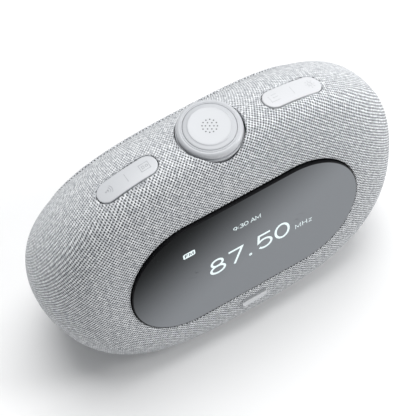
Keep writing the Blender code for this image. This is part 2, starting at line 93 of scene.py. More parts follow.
# %% [markdown]
# ## Shader maths as plain expressions
# A material is a little sum. This class wraps one socket, so that `1 - mask` or `ridge * 0.3` adds
# the Math nodes by itself, and `add` makes any other node from its type, settings and values.


# %% One class for all shader maths
class Signal:
    def __init__(self, tree, socket):
        self.tree, self.socket = tree, socket

    def math(self, operation, *others):
        node = self.tree.nodes.new("ShaderNodeMath")
        node.operation = operation
        for place, value in zip(node.inputs, (self, *others)):
            if isinstance(value, Signal):
                self.tree.links.new(value.socket, place)
            else:
                place.default_value = value
        return Signal(self.tree, node.outputs[0])

    def __add__(self, other):
        return self.math("ADD", other)

    def __sub__(self, other):
        return self.math("SUBTRACT", other)

    def __mul__(self, other):
        return self.math("MULTIPLY", other)

    def __truediv__(self, other):
        return self.math("DIVIDE", other)

    def __rsub__(self, other):
        return (self * -1.0) + other

    __radd__, __rmul__ = __add__, __mul__

    def between(self, low, high):
        """0 at low, 1 at high, eased between them."""
        return Finish.of(self.tree).add("ShaderNodeMapRange", {"interpolation_type": "SMOOTHSTEP"},
                                        {"Value": self, "From Min": low, "From Max": high})


class Finish:
    """A material with its Principled shader, and the helpers that feed it."""

    trees = {}

    def __init__(self, name, colour, roughness, metallic=0.0, **fixed):
        self.material = bpy.data.materials.new(name)
        self.material.use_nodes = True
        self.tree = self.material.node_tree
        self.shader = self.tree.nodes["Principled BSDF"]
        Finish.trees[self.tree.as_pointer()] = self
        self.set("Base Color", colour)
        self.set("Roughness", roughness)
        self.set("Metallic", metallic)
        for socket, value in fixed.items():
            self.set(socket.replace("_", " "), value)
        self.material.diffuse_color = (*(colour if isinstance(colour, tuple) else (0.5, 0.5, 0.5)), 1)

    @staticmethod
    def of(tree):
        return Finish.trees[tree.as_pointer()]

    def fill(self, socket, value):
        if isinstance(value, Signal):
            self.tree.links.new(value.socket, socket)
        elif isinstance(value, tuple) and len(value) == 3 and socket.type == "RGBA":
            socket.default_value = (*value, 1.0)
        else:
            socket.default_value = value

    def set(self, name, value):
        self.fill(self.shader.inputs[name], value)

    def add(self, kind, settings, values, output=0):
        node = self.tree.nodes.new(kind)
        for key, value in settings.items():
            setattr(node, key, value)
        for key, value in values.items():
            self.fill(node.inputs[key], value)
        return Signal(self.tree, node.outputs[output])

    def place(self):
        return self.add("ShaderNodeTexCoord", {}, {}, "Object")

    def axis(self, vector, letter):
        return self.add("ShaderNodeSeparateXYZ", {}, {0: vector}, letter)

    def noise(self, vector, scale, detail=3.0, roughness=0.5):
        return self.add("ShaderNodeTexNoise", {}, {"Vector": vector, "Scale": scale, "Detail": detail,
                                                   "Roughness": roughness}, "Fac")

    def blend(self, mask, first, second):
        node = self.tree.nodes.new("ShaderNodeMix")
        node.data_type = "RGBA"
        for socket, value in ((node.inputs[0], mask), (node.inputs[6], first), (node.inputs[7], second)):
            self.fill(socket, value)
        return Signal(self.tree, node.outputs[2])

    def bump(self, height, distance, strength=1.0):
        self.set("Normal", self.add("ShaderNodeBump", {}, {"Height": height, "Distance": distance,
                                                           "Strength": strength}))


print("shader helpers ready")

# %% [markdown]
# ## Moulded, turned and stamped finishes
# Plain plastic is never quite plain: the tool leaves a fine texture and the gloss wanders. Each
# finish below reads Object coordinates, so its grain has a real size in metres.


# %% Finishes for the solid parts
def moulded(name, colour, roughness, grain=1400.0, depth=0.00002, spread=0.04, **fixed):
    """Plastic with a fine spark-eroded texture, and a slow wander in tone and gloss."""
    made = Finish(name, colour, roughness, **fixed)
    place = made.place()
    slow = made.noise(place, 60.0, 2.0)
    fine = made.noise(place, grain, 2.0)
    darker = tuple(c * (1 - spread) for c in colour)
    lighter = tuple(min(1.0, c * (1 + spread)) for c in colour)
    made.set("Base Color", made.blend(slow.between(0.3, 0.7), darker, lighter))
    made.set("Roughness", fine * 0.12 + (roughness - 0.06))
    made.bump(fine, depth)
    return made.material


def brushed(name, colour, roughness):
    """Metal rubbed along x: noise stretched forty times that way."""
    made = Finish(name, colour, roughness, 1.0)
    place = made.add("ShaderNodeMapping", {}, {"Vector": made.place(), "Scale": (40.0, 1600.0, 1600.0)})
    lines = made.noise(place, 1.0, 2.0)
    made.set("Base Color", made.blend(lines, tuple(c * 0.85 for c in colour), colour))
    made.set("Roughness", lines * 0.2 + (roughness - 0.1))
    made.bump(lines, 0.000008)
    return made.material


def card(name):
    """Green circuit card: copper tracks under the mask show as a grid of paler lines."""
    made = Finish(name, (0.02, 0.12, 0.06), 0.35)
    place = made.place()
    tracks = made.add("ShaderNodeTexBrick", {"offset": 0.37}, {
        "Vector": place, "Color1": (0.02, 0.12, 0.06), "Color2": (0.02, 0.10, 0.05),
        "Mortar": (0.05, 0.26, 0.12), "Scale": 260.0, "Mortar Size": 0.03}, "Color")
    made.set("Base Color", tracks)
    made.bump(made.noise(place, 900.0), 0.00002)
    return made.material


GRAPHITE = moulded("graphite_moulding", (0.075, 0.078, 0.083), 0.55)
BLACK = moulded("black_moulding", (0.012, 0.012, 0.013), 0.5)
FOOT = moulded("foot_rubber", (0.022, 0.022, 0.024), 0.85, 900.0, 0.00005)
STEEL = brushed("plated_steel", (0.62, 0.62, 0.64), 0.32)
CARD = card("circuit_card")
FOIL = moulded("amber_foil", (0.42, 0.17, 0.03), 0.35, 500.0)
PAPER = moulded("coated_paper_cone", (0.03, 0.03, 0.032), 0.8, 500.0, 0.00008)
FINISHES = {
    "graphite": (GRAPHITE, ["front_baffle", "rear_housing", "chassis", "left_bulkhead", "right_bulkhead",
                            "radiator_frame"]),
    "black": (BLACK, ["base_plate", "display_frame", "dial_seat", "rear_panel", "power_inlet",
                      "display_panel", "dial_encoder", "snooze_switch", "left_inner_switch",
                      "left_outer_switch", "right_inner_switch", "right_outer_switch"]),
    "rubber": (FOOT, ["foot_pad", "left_surround", "right_surround", "radiator_surround"]),
    "steel": (STEEL, ["base_screw_1", "base_screw_2", "base_screw_3", "base_screw_4", "left_basket",
                      "right_basket", "left_magnet", "right_magnet", "radiator_plate", "usb_port"]),
    "card": (CARD, ["main_board", "control_board", "port_board", "left_key_board", "right_key_board"]),
    "foil": (FOIL, ["display_ribbon", "radio_antenna"]),
    "paper": (PAPER, ["left_cone", "right_cone"]),
}
for label, (material, names) in FINISHES.items():
    for name in names:
        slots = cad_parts[name].data.materials
        for number in range(len(slots)):
            slots[number] = material
    print(label, "on", len(names), "frame pieces")


# %% [markdown]
# ## From arrays to pieces
# Most pieces here are one grid of points, computed all at once: rows by columns, closed or open
# each way. This helper turns such a grid into quads. Corners at one place are then made one, which
# closes every seam and turns the quads at a pole into triangles.


# %% Turn a grid of points into a piece
SAME_PLACE = 0.000001  # corners closer than this, in metres, are one corner


def quads_of(rows, columns, around_columns=False):
    """Corner numbers of a grid's quads. They face the way of row step x column step."""
    r = np.arange(rows - 1)[:, None]
    c = np.arange(columns if around_columns else columns - 1)[None, :]
    r2, c2 = r + 1, (c + 1) % columns
    quads = [r * columns + c, r2 * columns + c, r2 * columns + c2, r * columns + c2]
    return np.stack(quads, -1).reshape(-1, 4)


def piece(name, points, faces, material, body, slot, replaces=(), angle=40.0, spots=None):
    """A mesh object from points in millimetres, riding on a body of the frame."""
    mesh = bpy.data.meshes.new(name)
    points = to_frame(points)
    width = faces.shape[1]
    mesh.vertices.add(len(points))
    mesh.vertices.foreach_set("co", points.astype(np.float32).ravel())
    mesh.loops.add(faces.size)
    mesh.loops.foreach_set("vertex_index", faces.astype(np.int32).ravel())
    mesh.polygons.add(len(faces))
    mesh.polygons.foreach_set("loop_start", np.arange(0, faces.size, width, dtype=np.int32))
    mesh.polygons.foreach_set("loop_total", np.full(len(faces), width, np.int32))
    mesh.update(calc_edges=True)
    mesh.validate()
    if spots is not None:
        layer = mesh.uv_layers.new(name="cloth")
        index = np.empty(len(mesh.loops), np.int32)
        mesh.loops.foreach_get("vertex_index", index)
        layer.data.foreach_set("uv", spots[index].astype(np.float32).ravel())
    joined = bmesh.new()
    joined.from_mesh(mesh)
    bmesh.ops.remove_doubles(joined, verts=joined.verts, dist=SAME_PLACE)
    joined.to_mesh(mesh)
    joined.free()
    mesh.materials.append(material)
    mesh.shade_smooth()
    mesh.set_sharp_from_angle(angle=math.radians(angle))
    made = bpy.data.objects.new(name, mesh)
    bpy.context.scene.collection.objects.link(made)
    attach(made, body)
    if replaces:
        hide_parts(*replaces)
    print(f"{name}: {len(mesh.polygons)} faces on {body}")
    return made


def grid_piece(name, points, material, body, slot, around_columns=False, **more):
    rows, columns = points.shape[:2]
    return piece(name, points.reshape(-1, 3), quads_of(rows, columns, around_columns),
                 material, body, slot, **more)


# %% [markdown]
# ## The pebble
# Seen from the front, the body is a superellipse, wider than tall and a little taller above than
# below. It swells forward and backward from that outline, deeper in front towards the foot, and its
# middle leans. The cloth follows this one formula, so every opening and key can be laid on it.

# %% The pebble's formula
HALF_WIDTH, TOP, BOTTOM = 95.0, 65.0, 62.0
OUTLINE_X, OUTLINE_Z = 2.85, 2.25
FRONT_DEPTH, FRONT_TAPER, FRONT_FLATNESS, FRONT_ROUND = 32.0, 0.33, 3.0, 1.75
BACK_DEPTH, BACK_FLATNESS, BACK_ROUND = 35.0, 2.5, 2.3
LEAN = -0.12


def outline_share(x, z):
    """|x / half width|^2.85 + |z / half height|^2.25: 0 at the middle, 1 on the outline."""
    tall = np.where(z > 0, TOP, BOTTOM)
    return np.abs(x / HALF_WIDTH) ** OUTLINE_X + np.abs(z / tall) ** OUTLINE_Z


def depth_at(x, z, front):
    """y of the cloth: the lean, plus depth times (1 - share^flatness)^(1 / round), each way."""
    share = np.clip(outline_share(x, z), 0, 1)
    ahead = -(FRONT_DEPTH - FRONT_TAPER * z) * (1 - share ** FRONT_FLATNESS) ** (1 / FRONT_ROUND)
    behind = BACK_DEPTH * (1 - share ** BACK_FLATNESS) ** (1 / BACK_ROUND)
    return LEAN * z + np.where(front, ahead, behind)


def outside(points):
    """Below 0 inside the pebble, above 0 outside: the same formula with the root undone."""
    x, y, z = points[..., 0], points[..., 1], points[..., 2]
    share, off = outline_share(x, z), y - LEAN * z
    ahead = share ** FRONT_FLATNESS + np.abs(off / (FRONT_DEPTH - FRONT_TAPER * z)) ** FRONT_ROUND
    behind = share ** BACK_FLATNESS + np.abs(off / BACK_DEPTH) ** BACK_ROUND
    return np.where(off < 0, ahead, behind) - 1


def cloth_normal(points, step=0.05):
    """The outward direction: the steepest climb of `outside`, by central differences."""
    climb = np.stack([outside(points + step * axis) - outside(points - step * axis)
                      for axis in np.eye(3)], -1)
    return climb / np.linalg.norm(climb, axis=-1, keepdims=True)


def drop(points, direction, reach=60.0):
    """Moves each point along a direction to the cloth, by halving the step that crosses it."""
    direction = np.broadcast_to(direction, points.shape)
    near, far = np.zeros(points.shape[:-1]), np.full(points.shape[:-1], reach)
    for _ in range(40):
        half = (near + far) / 2
        out = outside(points + direction * half[..., None]) > 0
        near, far = np.where(out, half, near), np.where(out, far, half)
    return points + direction * ((near + far) / 2)[..., None]


check = drop(np.array([[0.0, DIAL_Y, 90.0]]), np.array([0, 0, -1.0]))
print("cloth height at the dial:", round(float(check[0, 2]), 2), "mm above the middle")

# %% [markdown]
# ## The places of the openings
# The window lies on a plane that leans back. Each key has a small frame of its own on the top. An
# opening is a number that grows away from its edge: a slot with round ends is the distance from a
# short straight line, less a radius.

# %% Frames and edge distances
SCREEN_LEAN, SCREEN = math.radians(10.5), np.array([0.0, -31.1, 6.7])
LENS_HALF, LENS_RADIUS = 28.2, 33.6
WELL_RADIUS = 16.3
KEY_X, KEY_Y, KEY_HALF, KEY_RADIUS = 44.0, 1.6, 10.2, 5.45
PORT_Z, PORT_HALF, PORT_RADIUS = -32.0, 22.0, 7.3
EDGE_GAP = 0.3  # between a window or key and the cloth's opening
TOP_FROM, BACK_FROM = 30.0, 10.0  # z where the top begins, and y where the back does
CLEAR_OVER = 25.0  # points are dropped on the cloth from this far out


def frame_of(origin, along, across):
    """Origin and three axes: along, across, and outwards."""
    along, across = along / np.linalg.norm(along), across / np.linalg.norm(across)
    return np.array(origin, float), np.stack([along, across, np.cross(along, across)])


def into(place, points):
    origin, axes = place
    return (points - origin) @ axes.T


def out_of(place, local):
    origin, axes = place
    return local @ axes + origin


def key_place(side):
    spot = drop(np.array([[side * KEY_X, KEY_Y, 90.0]]), np.array([0, 0, -1.0]))[0]
    outward = cloth_normal(spot[None])[0]
    along = np.cross([0, 1.0, 0], outward)
    along /= np.linalg.norm(along)
    return frame_of(spot, along, np.cross(outward, along))


WINDOW = frame_of(SCREEN, np.array([1.0, 0, 0]), np.array([0, math.sin(SCREEN_LEAN), math.cos(SCREEN_LEAN)]))
KEYS = {"left": key_place(-1), "right": key_place(1)}
PORTS = frame_of([0, 0, PORT_Z], np.array([-1.0, 0, 0]), np.array([0, 0, 1.0]))


def slot_distance(local, half, radius):
    """Distance outside a slot with round ends, in the plane of the frame."""
    return np.hypot(np.maximum(np.abs(local[..., 0]) - half, 0), local[..., 1]) - radius


def opening_distance(points, hem):
    """How far each point on the cloth is from the nearest opening; below 0 inside one."""
    far = np.full(points.shape[:-1], 99.0)
    top = points[..., 2] > TOP_FROM
    dial = np.hypot(points[..., 0], points[..., 1] - DIAL_Y) - WELL_RADIUS - hem
    window = slot_distance(into(WINDOW, points), LENS_HALF, LENS_RADIUS + EDGE_GAP + hem)
    ports = slot_distance(into(PORTS, points), PORT_HALF, PORT_RADIUS + hem)
    found = np.where(top, dial, far)
    for place in KEYS.values():
        key = slot_distance(into(place, points), KEY_HALF, KEY_RADIUS + EDGE_GAP + hem)
        found = np.minimum(found, np.where(top, key, far))
    found = np.minimum(found, np.where(points[..., 1] < 0, window, far))
    found = np.minimum(found, np.where(points[..., 1] > BACK_FROM, ports, far))
    return np.minimum(found, points[..., 2] - BASE_CUT - hem)


print("key frame origins:", [place[0].round(1).tolist() for place in KEYS.values()])

# %% [markdown]
# ## Woven cloth
# The cover is two-tone melange yarn in a plain weave laid on the bias, so the small dark gaps
# between the yarns line up in slanting rows. The pattern is drawn on flat cloth, in millimetres,
# and a UV map carries it over the curve. Height, colour and gaps all come from the same two waves.
# On the top, a band across the pebble has its gaps painted only half as dark: painted light,
# for the brighter light that falls on the top.

# %% The cloth's finish
YARN = 1.22  # from one yarn to the next, in millimetres
TOP_LIGHT_BEGINS, TOP_LIGHT_ENDS = (-0.018, 0.016), (0.016, 0.030)  # metres behind the middle, on the top
TOP_LIGHT_SHARE = 0.5  # the share of each gap's darkness taken away on the top: painted light


def woven_cloth(name):
    made = Finish(name, (0.6, 0.62, 0.64), 0.9)
    flat = made.add("ShaderNodeUVMap", {"uv_map": "cloth"}, {})
    turned = made.add("ShaderNodeMapping", {"vector_type": "POINT"}, {
        "Vector": flat, "Rotation": (0.0, 0.0, math.radians(45)), "Scale": (1000 / YARN,) * 3})
    drift = made.noise(flat, 140.0, 2.0) - 0.5
    along = made.axis(turned, "X") + drift * 0.45
    across = made.axis(turned, "Y") + drift * -0.45
    warp = (across * math.pi).math("COSINE").math("ABSOLUTE")
    weft = (along * math.pi).math("COSINE").math("ABSOLUTE")
    lift = (across * math.pi).math("SINE") * (along * math.pi).math("SINE")
    gap = (1 - warp) * (1 - weft)
    height = warp.math("MAXIMUM", weft) * 0.6 + warp * weft * 0.25 + lift * 0.1
    long_way = made.add("ShaderNodeMapping", {}, {"Vector": turned, "Scale": (0.45, 1.3, 1.0)})
    cross_way = made.add("ShaderNodeMapping", {}, {"Vector": turned, "Scale": (1.3, 0.45, 1.0)})
    tone = (made.noise(long_way, 1.0, 2.0) + made.noise(cross_way, 1.0, 2.0)) * 0.5
    fuzz = made.noise(flat, 2600.0, 2.0)
    hole_tone = made.noise(turned, 0.9, 1.0)
    yarn = made.blend(tone.between(0.38, 0.62), (0.52, 0.54, 0.57), (0.95, 0.97, 0.99))
    hole = made.blend(hole_tone.between(0.35, 0.65), (0.006, 0.007, 0.009), (0.085, 0.09, 0.10))
    behind = made.axis(made.place(), "Y")
    # Painted light: the gaps fade on the top, so the top reads brighter.
    painted_top_light = behind.between(*TOP_LIGHT_BEGINS) - behind.between(*TOP_LIGHT_ENDS)
    made.set("Base Color", made.blend(gap.between(0.02, 0.21) * (1 - painted_top_light * TOP_LIGHT_SHARE), yarn, hole))
    made.set("Roughness", fuzz * 0.1 + 0.85)
    made.set("Sheen Weight", 0.10)
    made.set("Sheen Roughness", 0.6)
    made.bump(height + fuzz * 0.12, 0.00045, 1.0)
    return made.material


CLOTH = woven_cloth("melange_cloth")

# %% [markdown]
# ## Laying out the cover
# The cover's grid runs round the outline and from the front pole over the rim to the back pole.
# Grid corners near an opening slide along their edge until they lie on it exactly, so each opening
# has a clean edge, and the triangles inside it are left out.


# %% The cloth cover's grid
def even_outline(count):
    """Points of the superellipse x = a |cos t|^(2/n), z = b |sin t|^(2/m), spaced evenly along it."""
    t = np.linspace(0, 2 * np.pi, 20001)
    x = HALF_WIDTH * np.sign(np.cos(t)) * np.abs(np.cos(t)) ** (2 / OUTLINE_X)
    z = np.where(np.sin(t) > 0, TOP, BOTTOM) * np.sign(np.sin(t)) * np.abs(np.sin(t)) ** (2 / OUTLINE_Z)
    run = np.concatenate([[0], np.cumsum(np.hypot(np.diff(x), np.diff(z)))])
    where = np.linspace(0, run[-1], count + 1)
    return np.interp(where, run, x), np.interp(where, run, z)


PLACES, RINGS = 440, 84  # grid steps round the outline, and from a pole to the rim
RIM_X, RIM_Z = even_outline(PLACES)


def on_cloth(around, ring):
    """Point of the cloth for a place round the outline, and a ring from -1 in front to 1 behind.

    The share of the way out from the middle is 1 - |ring|^2.2, which crowds the rings at the rim,
    where the cloth turns fastest.
    """
    x, z = np.interp(around, np.arange(len(RIM_X)), RIM_X), np.interp(around, np.arange(len(RIM_Z)), RIM_Z)
    share = 1 - np.abs(ring) ** 2.2
    x, z = x * share, z * share
    return np.stack([x, depth_at(x, z, ring < 0), z], -1)


around, ring = np.meshgrid(np.arange(PLACES + 1.0), np.linspace(-1, 1, 2 * RINGS + 1))
HEM = 0.7  # the cloth turns in over this much at each opening
corner = (np.arange(2 * RINGS)[:, None] * (PLACES + 1) + np.arange(PLACES)).ravel()
beyond = corner + PLACES + 1
triangles = np.concatenate([np.stack([corner, beyond, beyond + 1], -1),
                            np.stack([corner, beyond + 1, corner + 1], -1)])
sides = np.concatenate([triangles[:, [0, 1]], triangles[:, [1, 2]], triangles[:, [2, 0]]])
edges = np.unique(np.sort(sides, axis=1), axis=0)
params = np.stack([around.ravel(), ring.ravel()], -1)
distance = opening_distance(on_cloth(params[:, 0], params[:, 1]), HEM)
for _ in range(3):
    a, b = edges[(distance[edges[:, 0]] * distance[edges[:, 1]]) < 0].T
    share = distance[a] / (distance[a] - distance[b])
    crossing = params[a] + (params[b] - params[a]) * share[:, None]
    mover = np.where(share < 0.5, a, b)
    order = np.argsort(-np.minimum(share, 1 - share))
    params[mover[order]] = crossing[order]
    distance = opening_distance(on_cloth(params[:, 0], params[:, 1]), HEM)
    distance[mover] = 0
middle = on_cloth(*params[triangles].mean(axis=1).T)
keep = (distance[triangles].min(axis=1) >= -0.05) & (opening_distance(middle, HEM) > 0)
cloth_points = on_cloth(params[:, 0], params[:, 1])
print("cloth triangles kept:", int(keep.sum()), "of", len(keep))

# %% [markdown]
# Flat cloth has no bumps, so the pattern's map unrolls the curve. In front, lengths walked over the
# cloth replace straight ones, more so towards the ends for x and towards the top for z. Past the
# rim the map runs straight on, square to the rim. The back is a second panel with its own map, and
# a round welt covers the seam between them.


# %% Unroll the curve for the weave
def walked(around, begin, end, steps=60):
    """Length walked over the cloth from one ring to another, at places round the outline."""
    walk, last = np.zeros(len(around)), on_cloth(around, begin + 0.0 * around)
    for share in np.linspace(0, 1, steps)[1:]:
        here = on_cloth(around, begin + (end - begin) * share)
        walk += np.linalg.norm(here - last, axis=1)
        last = here
    return walk


def front_map(around, ring):
    """x (1 + (s - 1) cos^2), z (1 + (s - 1) sin^2), where s is the walk over the straight distance."""
    points = on_cloth(around, ring)
    straight = np.maximum(np.hypot(points[:, 0], points[:, 2]), 1e-6)
    stretch = np.maximum(walked(around, -1.0, ring) / straight, 1.0) - 1
    bearing = np.arctan2(points[:, 2], points[:, 0])
    return np.stack([points[:, 0] * (1 + stretch * np.cos(bearing) ** 2),
                     points[:, 2] * (1 + stretch * np.sin(bearing) ** 2)], -1)


def past_rim_map(around, ring):
    """The rim's own map, then outwards square to it by 0.85 of the length walked past the rim."""
    places = np.arange(float(PLACES))
    rim = front_map(places, 0.0 * places)
    ahead = np.roll(rim, -10, axis=0) - np.roll(rim, 10, axis=0)
    out = np.stack([ahead[:, 1], -ahead[:, 0]], -1)
    out /= np.linalg.norm(out, axis=1, keepdims=True)
    base, way = [np.stack([np.interp(around, places, column, period=PLACES) for column in each.T], -1)
                 for each in (rim, out)]
    return base + way * 0.85 * walked(around, 0.0, ring)[:, None]


WELT = 0.5  # the ring where the back panel starts
around, ring = params.T
in_front = front_map(around, np.minimum(ring, 0))
past_rim = past_rim_map(around, np.maximum(ring, 0))
front_spots = np.where((ring > 0)[:, None], past_rim, in_front) * MM
back_spots = cloth_points[:, [0, 2]] * 1.06 * MM
mid_ring = ring[triangles].mean(axis=1)


def cloth_panel(name, chosen, spots, **more):
    """The chosen triangles, with only the corners that they use."""
    used, index = np.unique(triangles[chosen], return_inverse=True)
    return piece(name, cloth_points[used], index.reshape(-1, 3), CLOTH, BODY, "fabric_cover",
                 spots=spots[used], angle=80.0, **more)


def area_of(chosen):
    """Area of the chosen triangles in square metres: half of each cross product's length."""
    a, b, c = cloth_points[triangles[chosen]].transpose(1, 0, 2)
    return float(np.linalg.norm(np.cross(b - a, c - a), axis=1).sum() / 2) * MM ** 2


front_faces, back_faces = keep & (mid_ring < WELT), keep & (mid_ring > WELT)
cover = cloth_panel("cloth_cover", front_faces, front_spots, replaces=("fabric_cover",))
back_panel = cloth_panel("cloth_back_panel", back_faces, back_spots)
print("cloth on show in square mm:", round(area_of(front_faces) * 1e6), round(area_of(back_faces) * 1e6))


# %% The welt over the seam
def welt_cord(radius=0.8):
    """A round cord: path + r (n cos a + b sin a), drawn down to a point at each end."""
    path = on_cloth(np.arange(float(PLACES)), np.full(PLACES, WELT))
    path = np.roll(path, -int(np.argmin(path[:, 2])), axis=0)
    path = path[path[:, 2] > BASE_CUT + 1.5 * radius]
    normal = cloth_normal(path)
    ahead = np.gradient(path, axis=0)
    ahead /= np.linalg.norm(ahead, axis=1, keepdims=True)
    aside = np.cross(ahead, normal)
    a = np.linspace(0, 2 * math.pi, 12, endpoint=False)[None, :, None]
    width = np.full((len(path), 1, 1), radius)
    width[0] = width[-1] = 0.0
    points = path[:, None] + width * (normal[:, None] * np.cos(a) + aside[:, None] * np.sin(a))
    run = np.cumsum(np.linalg.norm(np.gradient(path, axis=0), axis=1))[:, None] * MM
    spots = np.stack(np.broadcast_arrays(run, np.linspace(0, 2 * math.pi * radius, 12)[None] * MM), -1)
    return grid_piece("cloth_welt", points, CLOTH, BODY, "fabric_cover", around_columns=True,
                      spots=spots.reshape(-1, 2), angle=80.0)


welt = welt_cord()

# %% [markdown]
# At each opening the cloth turns in over a small radius and dives between its neighbours. Such a
# hem is a quarter circle, then a short straight drop, carried round the opening's edge.


# %% Turned-in hems
def slot_loop(half, radius, count=160):
    """An even walk round a slot with round ends: its (x, y) in millimetres."""
    t = np.linspace(0, 1, count, endpoint=False)
    bend, line = math.pi * radius, 2 * half
    run = t * (2 * bend + 2 * line)
    x, y = np.empty(count), np.empty(count)
    for index, (begin, end) in enumerate(((0, bend), (bend, bend + line), (bend + line, 2 * bend + line),
                                          (2 * bend + line, 2 * bend + 2 * line))):
        here = (run >= begin) & (run < end)
        part = run[here] - begin
        side = 1 if index < 2 else -1
        if index % 2 == 0:
            angle = part / max(radius, 1e-9) - math.pi / 2
            x[here] = side * (half + radius * np.cos(angle))
            y[here] = side * radius * np.sin(angle)
        else:
            x[here] = side * (half - part)
            y[here] = side * radius
    return np.stack([x, y], -1)


def hem(name, place, half, radius, deep=1.6):
    """Quarter circle from the cloth into the opening: P - t h sin a - n h (1 - cos a), then a drop."""
    def laid(extra):
        flat = slot_loop(half, radius + extra)
        over = out_of(place, np.concatenate([flat, np.full((len(flat), 1), CLEAR_OVER)], -1))
        return drop(over, -place[1][2])

    edge, beyond = laid(HEM), laid(HEM + 0.4)
    outward = beyond - edge
    outward /= np.linalg.norm(outward, axis=-1, keepdims=True)
    normal = cloth_normal(edge)
    turn = np.linspace(0, math.pi / 2, 8)[:, None, None]
    roll = edge - outward * HEM * np.sin(turn) - normal * HEM * (1 - np.cos(turn))
    down = roll[-1] - place[1][2] * np.linspace(0.3, deep, 4)[:, None, None]
    points = np.concatenate([roll, down])
    run = np.concatenate([turn[:, 0, 0] * HEM, HEM * math.pi / 2 + np.linspace(0.3, deep, 4)])
    nearest = np.array([np.argmin(((cloth_points - one) ** 2).sum(axis=1)) for one in edge])
    start = np.where((ring > WELT)[:, None], back_spots, front_spots)[nearest]
    ahead = np.stack([outward[:, 0], (outward * np.cross(normal, [1.0, 0, 0])).sum(-1)], -1)
    spots = start[None] - ahead[None] * run[:, None, None] * MM
    return grid_piece(name, points[::-1], CLOTH, BODY, "fabric_cover", around_columns=True,
                      spots=spots[::-1].reshape(-1, 2), angle=80.0)


DIAL_PLACE = frame_of([0, DIAL_Y, 60.0], np.array([1.0, 0, 0]), np.array([0, 1.0, 0]))
front_hems = [hem("dial_hem", DIAL_PLACE, 0.0, WELL_RADIUS, 2.2),
              hem("window_hem", WINDOW, LENS_HALF, LENS_RADIUS + EDGE_GAP),
              hem("left_key_hem", KEYS["left"], KEY_HALF, KEY_RADIUS + EDGE_GAP),
              hem("right_key_hem", KEYS["right"], KEY_HALF, KEY_RADIUS + EDGE_GAP)]
port_hem = hem("port_hem", PORTS, PORT_HALF, PORT_RADIUS)
round(area_of(front_faces), 4)
round(area_of(back_faces), 4)

# %% [markdown]
# ## The window
# A smoked plastic window with a black side, over the display panel. Its dark grey colour and faint
# even glow are painted reflection of the room, with a dark corner, upper left. The face is one grid
# of slot-shaped rings, and the black band carries the same ring over a round edge and down the side.


# %% Window finishes
def smoked_glass():
    """Painted reflection of the room: even grey glow, but for a soft dark corner above, cut by a slanting
    edge.
    """
    made = Finish("smoked_window", (0.1, 0.1, 0.11), 0.12)
    place = made.place()
    up_face = (made.axis(place, "Z") - (MIDDLE[2] + SCREEN[2]) * MM) / math.cos(SCREEN_LEAN)
    # Painted reflection: black in the upper left, even grey below and to the right, in both colour and glow.
    painted_reflection = (made.axis(place, "X") * 0.45 - up_face).between(-0.050, 0.012)
    made.set("Base Color", made.blend(painted_reflection, (0.006, 0.007, 0.0075), (0.075, 0.079, 0.084)))
    made.set("Emission Color", made.blend(painted_reflection, (0.0, 0.0, 0.0), (0.180, 0.190, 0.203)))
    made.set("Emission Strength", 1.0)
    made.set("Roughness", made.noise(place, 35.0) * 0.03 + 0.20)
    made.set("Specular IOR Level", 0.03)
    return made.material


GLASS = smoked_glass()
BAND = moulded("piano_black", (0.003, 0.003, 0.004), 0.42, 300.0, 0.000002, Specular_IOR_Level=0.12)


def slot_rings(place, half, radius, steps):
    """Rings of a slot: each step is (how far in from the edge, height), outermost last."""
    rings = []
    for inset, height in steps:
        flat = slot_loop(half, max(radius - inset, 0.0))
        rings.append(np.concatenate([flat, np.full((len(flat), 1), height)], -1))
    return out_of(place, np.array(rings))


inner = [(inset, 0.0) for inset in np.linspace(LENS_RADIUS, 0.35, 14)]
grid_piece("window_glass", slot_rings(WINDOW, LENS_HALF, LENS_RADIUS, inner), GLASS, BODY, "display_lens",
           around_columns=True, replaces=("display_lens",))
turn = np.linspace(0, math.pi / 2, 7)
band = [(0.35 * (1 - math.sin(t)), -0.35 * (1 - math.cos(t))) for t in turn]
band += [(0.0, -1.5), (0.0, -3.2), (0.0, -5.4)]
grid_piece("window_band", slot_rings(WINDOW, LENS_HALF, LENS_RADIUS, band), BAND, BODY, "display_frame",
           around_columns=True, angle=60.0)

# %% [markdown]
# The lit digits are strokes of even width: each figure is one or more centre lines, made of arcs
# and straight runs in a box one unit high, and a flat ribbon follows each line.


# %% Lines of the figures
def arc(cx, cy, rx, ry, begin, end, count=28):
    """Points (cx + rx cos a, cy + ry sin a) from one bearing to another, in degrees."""
    a = np.radians(np.linspace(begin, end, count))
    return np.stack([cx + rx * np.cos(a), cy + ry * np.sin(a)], -1)


def line(*points):
    return np.array(points, float)


def join(*runs):
    return np.concatenate(runs)


